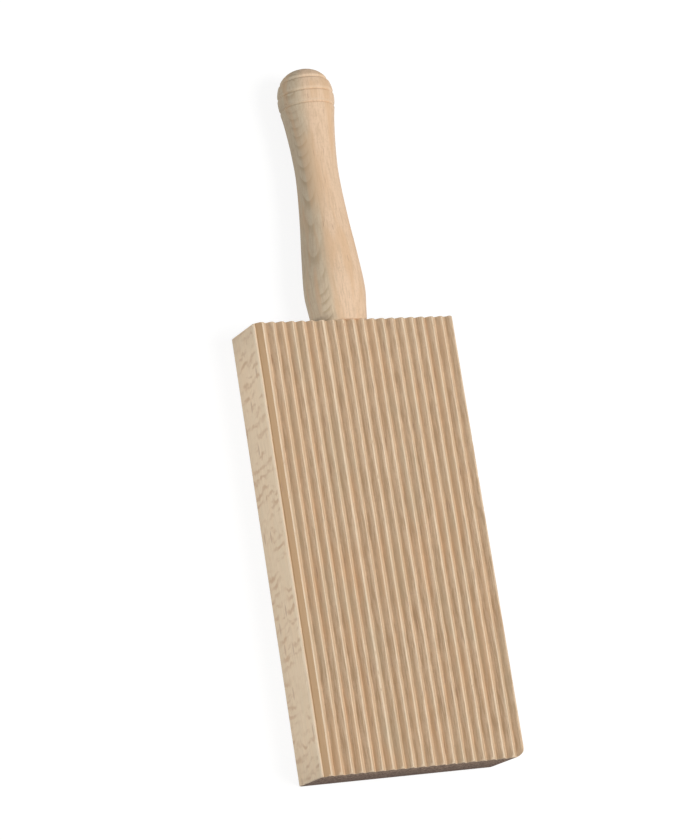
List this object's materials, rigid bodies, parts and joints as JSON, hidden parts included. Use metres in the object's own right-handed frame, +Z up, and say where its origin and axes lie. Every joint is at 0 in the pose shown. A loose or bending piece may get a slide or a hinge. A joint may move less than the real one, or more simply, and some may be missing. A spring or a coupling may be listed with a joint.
{
  "type": "gnocchi board",
  "caption": "Flat beech board with fine V-shaped ridges running lengthwise on its upper face, for rolling gnocchi, and a turned knob-ended handle doweled to one end.",
  "frame": {"origin": "middle of the whole length and width, on the flat back that the board rests on", "axes": "+Y along the ridges, from the board towards the knob of the handle; +Z up, out of the ridged face; +X across the ridges"},
  "size_m": [0.06, 0.1986, 0.017],
  "materials": {
    "beech_board": "planed, unvarnished",
    "beech_handle": "turned and sanded, unvarnished",
    "beech_dowel": "fluted, unvarnished"
  },
  "bodies": {
    "root": {"ridged_board": "beech_board", "turned_handle": "beech_handle", "fluted_dowel": "beech_dowel"}
  },
  "joints": []
}
